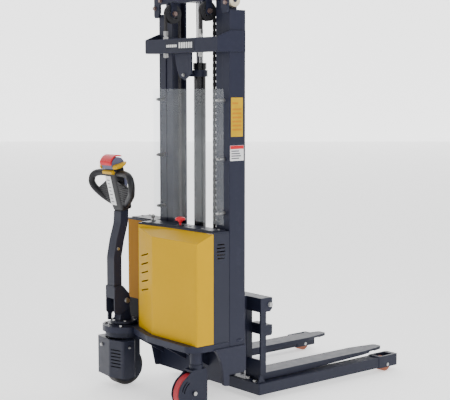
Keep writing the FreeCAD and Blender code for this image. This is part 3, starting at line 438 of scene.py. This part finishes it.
def extrude_poly(pts, axis, a, b):
    """Prism of a polygon given in the two other axes, a..b along axis, in mast mm."""
    vs, fs = [], []
    n = len(pts)
    for lv in (a, b):
        for p, q in pts:
            vs.append(W(*{"x": (lv, p, q), "y": (p, lv, q), "z": (p, q, lv)}[axis]))
    fs.append(list(range(n)))
    fs.append(list(range(2 * n - 1, n - 1, -1)))
    for i in range(n):
        j = (i + 1) % n
        fs.append([i, i + n, j + n, j])
    return vs, fs


def rrect(x0, x1, z0, z1, r, n=5):
    pts = []
    for cx, cz, a0 in ((x1 - r, z1 - r, 0), (x0 + r, z1 - r, 90), (x0 + r, z0 + r, 180), (x1 - r, z0 + r, 270)):
        for k in range(n + 1):
            a = math.radians(a0 + 90 * k / n)
            pts.append((cx + r * math.cos(a), cz + r * math.sin(a)))
    return pts


def fix_normals(o):
    bm = bmesh.new()
    bm.from_mesh(o.data)
    bmesh.ops.recalc_face_normals(bm, faces=bm.faces)
    bm.to_mesh(o.data)
    bm.free()
    return o


def plate(name, body, m, pts, axis, a, b, bev=0.0, slot=None):
    o = fix_normals(build(name, body, m, *extrude_poly(pts, axis, a, b)))
    if bev:
        md = o.modifiers.new("bevel", "BEVEL")
        md.width, md.segments, md.limit_method = bev, 2, "ANGLE"
    return o


# leaf chain: outer and inner plates with pins, drawn link by link
PITCH = 15.875


def link_mesh(x, z0, n, y, wide0=True, scale=1.0):
    """n links going up from z0 at (x, y) mm; returns verts, faces."""
    vs, fs = [], []

    def plate_(cx, t, zc, h):
        pts = []
        for s_, a0 in ((1, 0), (-1, 180)):
            for k in range(9):
                a = math.radians(a0 + 180 * k / 8)
                pts.append((y + 6.0 * scale * math.cos(a), zc + s_ * h / 2 + 6.0 * scale * math.sin(a)))
        i0 = len(vs)
        n_ = len(pts)
        for lv in (cx - t / 2, cx + t / 2):
            for p, q in pts:
                vs.append(W(lv, p, q))
        fs.append([i0 + k for k in range(n_)])
        fs.append([i0 + k for k in range(2 * n_ - 1, n_ - 1, -1)])
        for k in range(n_):
            j = (k + 1) % n_
            fs.append([i0 + k, i0 + k + n_, i0 + j + n_, i0 + j])

    def pin(zc, half):
        i0 = len(vs)
        for lv in (-half, half):
            for k in range(10):
                a = 2 * math.pi * k / 10
                vs.append(W(x + lv, y + 2.6 * scale * math.cos(a), zc + 2.6 * scale * math.sin(a)))
        fs.append([i0 + k for k in range(10)])
        fs.append([i0 + 19 - k for k in range(10)])
        for k in range(10):
            j = (k + 1) % 10
            fs.append([i0 + k, i0 + k + 10, i0 + j + 10, i0 + j])

    for i in range(n):
        zc = z0 + (i + 0.5) * PITCH
        if (i % 2 == 0) == wide0:
            for cx in (-5.6, -0.9, 0.9, 5.6):
                plate_(x + cx * scale, 1.7 * scale, zc, PITCH)
        else:
            for cx in (-3.6, -2.0, 2.0, 3.6):
                plate_(x + cx * scale, 1.4 * scale, zc, PITCH)
        pin(z0 + i * PITCH, 7.0 * scale)
    pin(z0 + n * PITCH, 7.0 * scale)
    return vs, fs


BIG = 1.0e4


def inv_smooth(w):
    """t in 0..1 whose smoothstep is w."""
    lo, hi = 0.0, 1.0
    for _ in range(60):
        t = (lo + hi) / 2
        if t * t * (3 - 2 * t) < w:
            lo = t
        else:
            hi = t
    return (lo + hi) / 2


def const_blend(o, a, b, w, zc):
    t = min(0.999999, max(0.000001, inv_smooth(w)))
    L = BIG
    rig.blend(o, a, b, start=(0, 0, zc - t * L), end=(0, 0, zc + (1 - t) * L))


yr, yf = -72 - 44, -72 + 44
for side, sx in (("left", -143), ("right", 143)):
    # rear strands: a short run at rest that pays out as the mast rises
    N = 18
    for k in range(N):
        wgt = min(0.9995, max(0.0005, k / (N - 1)))
        nl = 5
        sc = 1.0 - 0.004 * k
        vs, fs = link_mesh(sx, 1884 + (1973 - 1884 - nl * PITCH) / 2, nl, yr, k % 2 == 0, sc)
        o = fix_normals(build(f"chain_rear_{side}_{k:02d}", None, mat["chain"], vs, fs))
        const_blend(o, "chassis", "inner_mast", wgt, 1.92)
        pieces_r = o
        globals().setdefault("REAR", []).append(o)
    # front strands: long at rest, gathered under the sheave when the carriage is up
    z0, z1 = 556.0, 1973.0
    N = 12
    tot = int(round((z1 - z0) / PITCH))
    per = tot / N
    for k in range(N):
        a, b = int(round(k * per)), int(round((k + 1) * per))
        vs, fs = link_mesh(sx, z0 + a * PITCH, b - a, yf, a % 2 == 0, 1.0 - 0.004 * k)
        o = fix_normals(build(f"chain_front_{side}_{k:02d}", None, mat["chain"], vs, fs))
        # weight 1 rides with the inner mast, 0 with the carriage
        zc = (z0 + (a + b) / 2 * PITCH - z0) / (z1 - z0)
        const_blend(o, "carriage", "inner_mast", min(0.999, max(0.001, zc)), 1.2)
        globals().setdefault("FRONT", []).append(o)
    # wrap over the sheave
    vs, fs = [], []
    R = 44.0
    nn = 9
    for i in range(nn):
        a0 = math.pi * (i + 0.5) / nn
        lv, lf = link_mesh(sx, -PITCH / 2, 1, 0.0, i % 2 == 0)
        base = len(vs)
        for v in lv:
            x = v.x
            y = v.y - SY
            z = v.z
            # rotate link so that it lies along the arc
            ang = a0
            yy = (R / 1000 + y) * math.cos(ang) - z * math.sin(ang)
            zz = (R / 1000 + y) * math.sin(ang) + z * math.cos(ang)
            vs.append(V((x, -0.072 + yy + SY, 1.973 + zz)))
        fs += [[base + q for q in f] for f in lf]
    o = fix_normals(build(f"chain_wrap_{side}", "inner_mast", mat["chain"], vs, fs))
    globals().setdefault("WRAP", []).append(o)
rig.replaces(REAR[0], "chain_strands_rear")
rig.replaces(FRONT[0], "chain_strands_front")
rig.replaces(WRAP[0], "chain_wraps")

# plate on the crossbar with plain bars, labels on the mast side and on the tiller
plate("crossbar_plate", "chassis", mat["label_dark"], rrect(-122, 118, 1780, 1834, 3), "y", -135.6, -134.9)
for i in range(6):
    plate(f"crossbar_plate_small_{i}", "chassis", mat["label_white"], rrect(-112 + 15 * i, -101 + 15 * i, 1800, 1813, 1.5), "y", -135.9, -135.5)
for i in range(6):
    plate(f"crossbar_plate_large_{i}", "chassis", mat["label_white"], rrect(-8 + 19 * i, 5 + 19 * i, 1794, 1823, 2), "y", -135.9, -135.5)
plate("side_label_yellow", "chassis", mat["label_yellow"], rrect(-42, 34, 1355, 1548, 3), "x", 290.0, 290.35)

for i, z in enumerate((1520, 1490, 1470, 1450, 1430, 1410, 1390)):
    plate(f"side_label_yellow_bar_{i}", "chassis", mat["label_ochre"], rrect(-34, 26 if i else 4, z - 5, z + 5, 2), "x", 290.3, 290.55)
plate("side_label_white", "chassis", mat["label_white"], rrect(-48, 40, 1236, 1312, 3), "x", 290.0, 290.35)
plate("side_label_red", "chassis", mat["label_red"], rrect(-47, 39, 1294, 1311, 2), "x", 290.3, 290.55)
for i, z in enumerate((1284, 1272, 1260, 1248)):
    plate(f"side_label_white_bar_{i}", "chassis", mat["label_grey"], rrect(-40, 10 + 6 * (i % 3), z - 3, z + 3, 1), "x", 290.3, 290.55)

# ------------------------------------------------------------ tiller head
HZ = 985.0
LEAN = math.radians(14)


def H(x, y, z):
    """Head point: x from the steering axis, y and z from the head's own origin, in mm."""
    yy = -214 + y * math.cos(LEAN) - z * math.sin(LEAN)
    zz = HZ + y * math.sin(LEAN) + z * math.cos(LEAN)
    return W(STX * 1000 + x, yy, zz)


def spline(pts, n):
    """Catmull-Rom through the points."""
    P = [V(p) for p in pts]
    P = [P[0] * 2 - P[1]] + P + [P[-1] * 2 - P[-2]]
    out = []
    for i in range(1, len(P) - 2):
        for k in range(n):
            t = k / n
            a, b, c, d = P[i - 1], P[i], P[i + 1], P[i + 2]
            out.append(0.5 * ((2 * b) + (c - a) * t + (2 * a - 5 * b + 4 * c - d) * t * t + (3 * b - 3 * c + d - a) * t ** 3))
    out.append(P[-2])
    return out


def tube(path, rad, seg=20, flat=1.0):
    """Verts and faces of a tube along path (V points); rad is a number or a list; flat squeezes it along Y."""
    vs, fs = [], []
    n = len(path)
    for i, p in enumerate(path):
        tg = (path[min(i + 1, n - 1)] - path[max(i - 1, 0)]).normalized()
        s_ = V((0, 1, 0))
        u = (s_ - tg * s_.dot(tg)).normalized()
        v = tg.cross(u)
        r = rad[i] if isinstance(rad, list) else rad
        for k in range(seg):
            a = 2 * math.pi * k / seg
            vs.append(p + u * (r * flat * math.cos(a)) + v * (r * math.sin(a)))
    for i in range(n - 1):
        for k in range(seg):
            j = (k + 1) % seg
            fs.append([i * seg + k, i * seg + j, (i + 1) * seg + j, (i + 1) * seg + k])
    fs.append(list(range(seg))[::-1])
    fs.append([(n - 1) * seg + k for k in range(seg)])
    return vs, fs


def loft_rings(rings, cap=True):
    vs, fs = [], []
    n = len(rings[0])
    for r in rings:
        vs += r
    for i in range(len(rings) - 1):
        for k in range(n):
            j = (k + 1) % n
            fs.append([i * n + k, i * n + j, (i + 1) * n + j, (i + 1) * n + k])
    if cap:
        fs.append(list(range(n))[::-1])
        fs.append([(len(rings) - 1) * n + k for k in range(n)])
    return vs, fs


def superring(z, hx, hy, yc=0.0, e=4.0, n=40, xc=0.0):
    out = []
    for k in range(n):
        a = 2 * math.pi * k / n
        c, s_ = math.cos(a), math.sin(a)
        out.append(H(xc + hx * math.copysign(abs(c) ** (2 / e), c), yc + hy * math.copysign(abs(s_) ** (2 / e), s_), z))
    return out


def joined(name, body, m, chunks, smooth=True):
    vs, fs = [], []
    for a, b in chunks:
        o_ = len(vs)
        vs += a
        fs += [[o_ + q for q in f] for f in b]
    o = fix_normals(build(name, body, m, vs, fs, smooth))
    if smooth:
        for p in o.data.polygons:
            p.use_smooth = len(p.vertices) == 4
    return o


body_rings = [superring(z, hx, hy, 0.0, 7.0, 56) for z, hx, hy in (
    (-36, 38, 31), (-35, 41, 32), (-28, 46, 32.6), (-16, 50, 33), (0, 52, 33), (60, 52, 33), (120, 52, 33), (166, 52, 33), (188, 52, 33), (194, 50, 32), (197.4, 46, 30))]
GRIP_R = 18.5
GRIP = [(36, -8, 166), (62, -10, 168), (108, -13, 169), (150, -21, 164), (176, -30, 149), (186, -36, 121), (179, -36, 98), (166, -32, 79),
        (148, -26, 59), (122, -21, 39), (92, -14, 20), (58, -6, 2), (38, -3, -8)]
chunks = [loft_rings(body_rings)]
for s_ in (-1, 1):
    path = [H(*p) for p in spline([(s_ * x, y, z) for x, y, z in GRIP], 8)]
    chunks.append(tube(path, GRIP_R / 1000, 28))
    web = [(48, 134), (100, 108), (141, 88), (151, 62), (122, 38), (90, 18), (56, 0), (48, 0)]
    k_ = len(web)
    vs = [H(s_ * x, -30, z) for x, z in web] + [H(s_ * x, -15, z) for x, z in web]
    fs = [list(range(k_)), list(range(2 * k_ - 1, k_ - 1, -1))] + [[i, (i + 1) % k_, (i + 1) % k_ + k_, i + k_] for i in range(k_)]
    chunks.append((vs, fs))
    for r_ in range(8):
        z0 = 22 + r_ * 12.5
        x1 = min(140, 84 + r_ * 9.5) if z0 < 92 else 141 - (z0 - 84) * 1.9
        chunks.append(tube([H(s_ * 50, -30.2, z0), H(s_ * (50 + x1) / 2, -30.2, z0 - 1), H(s_ * x1, -30.2, z0 - 2)], 0.0022, 8))
head = joined("tiller_head_shell", "tiller", mat["bplastic"], chunks)
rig.replaces(head, "tiller_head")
# label strip and its bars on the back of the head
def strip(name, m, x0, x1, z0, z1, y, t=0.4):
    pts = rrect(x0, x1, z0, z1, 2)
    k_ = len(pts)
    vs = [H(x, y, z) for x, z in pts] + [H(x, y - t, z) for x, z in pts]
    fs = [list(range(k_)), list(range(2 * k_ - 1, k_ - 1, -1))] + [[i, (i + 1) % k_, (i + 1) % k_ + k_, i + k_] for i in range(k_)]
    return fix_normals(build(name, "tiller", m, vs, fs))


strip("tiller_label", mat["label_white"], -47, 2, -4, 157, -33.2, 0.6)
for i in range(7):
    strip(f"tiller_label_bar_{i}", mat["label_grey"], -38, -12 - 6 * (i % 2), 12 + i * 20, 17 + i * 20, -33.8, 0.2)

# throttle: two curved thumb blades on one shaft
chunks = []
for s_ in (-1, 1):
    rings = []
    for i in range(9):
        u = i / 8
        x = s_ * (53.6 + 29 * u)
        tw = 1 - 0.25 * u * u
        prof = [(-38, 8), (-44, -4), (-40, -13), (-24, -16), (-4, -15), (14, -11), (32, -3), (42, 6), (42, 11), (32, 11), (14, 9), (-8, 9), (-26, 10)]
        rings.append([H(x, p * tw, 212 + q * tw) for p, q in prof])
    chunks.append(loft_rings(rings))
    pth = [H(s_ * 30, 0, 212), H(s_ * 60, 0, 212), H(s_ * 80, 0, 212)]
    chunks.append(tube(pth, 0.0068, 16))
tho = joined("throttle_blades", "throttle", mat["yplastic"], chunks)
md = tho.modifiers.new("soft", "BEVEL")
md.width, md.segments, md.limit_method, md.angle_limit = 0.0022, 3, "ANGLE", math.radians(25)
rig.replaces(tho, "throttle")

# plated axle heads of the caster
for s_ in (-1, 1):
    x0, x1 = sorted((230 + s_ * 31.9, 230 + s_ * 42.2))
    pts = [(-253 + 11.6 * math.cos(math.radians(60 * k)), 95 + 11.6 * math.sin(math.radians(60 * k))) for k in range(6)]
    plate(f"caster_axle_head_{'left' if s_ < 0 else 'right'}", "caster", mat["zinc"], pts, "x", x0, x1, 0.0008)

# ------------------------------------------------------------ floor, light, camera
def mesh_obj(name, verts, faces, m=None, smooth=False):
    me = bpy.data.meshes.new(name)
    me.from_pydata([tuple(v) for v in verts], [], faces)
    me.update()
    o = bpy.data.objects.new(name, me)
    bpy.context.scene.collection.objects.link(o)
    if m:
        me.materials.append(m)
    if smooth:
        for p in me.polygons:
            p.use_smooth = True
    return o


fm, ft, fb = nt("studio_floor")
fco = coord(ft)
ft.links.new(ramp(ft, noise(ft, fco, 1.2, 3, 0.5), [(0.3, g3(0.93)), (0.7, g3(0.95))]), fb.inputs["Base Color"])
fb.inputs["Roughness"].default_value = 0.7
floor = mesh_obj("studio_floor", [(-30, -30, -0.0005), (30, -30, -0.0005), (30, 30, -0.0005), (-30, 30, -0.0005)], [(0, 1, 2, 3)], fm)
fb.inputs["Emission Color"].default_value = (1, 1, 1, 1)
fb.inputs["Emission Strength"].default_value = 0.8
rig.stage(floor)
bm = bpy.data.materials.new("studio_backdrop_paper")
bm.use_nodes = True
bt_ = bm.node_tree
bb = bt_.nodes["Principled BSDF"]
bt_.links.new(ramp(bt_, noise(bt_, coord(bt_), 0.4, 2, 0.5), [(0.3, g3(0.90)), (0.7, g3(0.93))]), bb.inputs["Base Color"])
bb.inputs["Roughness"].default_value = 0.8
bb.inputs["Emission Color"].default_value = (1, 1, 1, 1)
bb.inputs["Emission Strength"].default_value = 1.7
bx, by_, ux, uy = -0.7694 * 27, 0.6388 * 27, 0.6388, 0.7694
backdrop = mesh_obj("studio_backdrop", [(bx - ux * 60, by_ - uy * 60, -0.0004), (bx + ux * 60, by_ + uy * 60, -0.0004),
                                        (bx + ux * 60, by_ + uy * 60, 40), (bx - ux * 60, by_ - uy * 60, 40)], [(0, 1, 2, 3)], bm)
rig.stage(backdrop)

w = bpy.data.worlds.new("studio")
bpy.context.scene.world = w
w.use_nodes = True
w.node_tree.nodes["Background"].inputs[0].default_value = (1, 1, 1, 1)
w.node_tree.nodes["Background"].inputs[1].default_value = 0.72


def area(name, loc, at, size, power, col=(1, 1, 1)):
    l = bpy.data.lights.new(name, "AREA")
    l.shape, l.size, l.size_y, l.energy, l.color = "RECTANGLE", size[0], size[1], power, col
    o = bpy.data.objects.new(name, l)
    bpy.context.scene.collection.objects.link(o)
    o.location = loc
    o.rotation_euler = (V(at) - V(loc)).to_track_quat("-Z", "Y").to_euler()
    return o


area("key_soft", (5.2, -0.6, 3.4), (0, 0, 0.9), (2.6, 2.6), 150)
area("rear_soft", (-1.2, -4.8, 2.6), (0, -0.3, 0.8), (2.0, 2.0), 35)
area("top_soft", (0.6, 0.4, 5.0), (0, 0, 0.6), (3.0, 3.0), 60)

cam = bpy.data.cameras.new("camera")
cam.lens, cam.sensor_width, cam.sensor_fit = 90.0, 36.0, "HORIZONTAL"
cam.clip_end = 100
co_ = bpy.data.objects.new("camera", cam)
bpy.context.scene.collection.objects.link(co_)
pos = V((4.535 + SX, -3.605 + SY, 1.600))
pitch = math.radians(5.74)
hd = V((-0.7694, 0.6388, 0)).normalized()
co_.location = pos
co_.rotation_euler = (hd * math.cos(pitch) - V((0, 0, math.sin(pitch)))).to_track_quat("-Z", "Y").to_euler()
bpy.context.scene.camera = co_

json.dump({"cad": CAD_BOX, "visual": [[float(a) for a in c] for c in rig.bounds()]}, open("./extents.json", "w"))
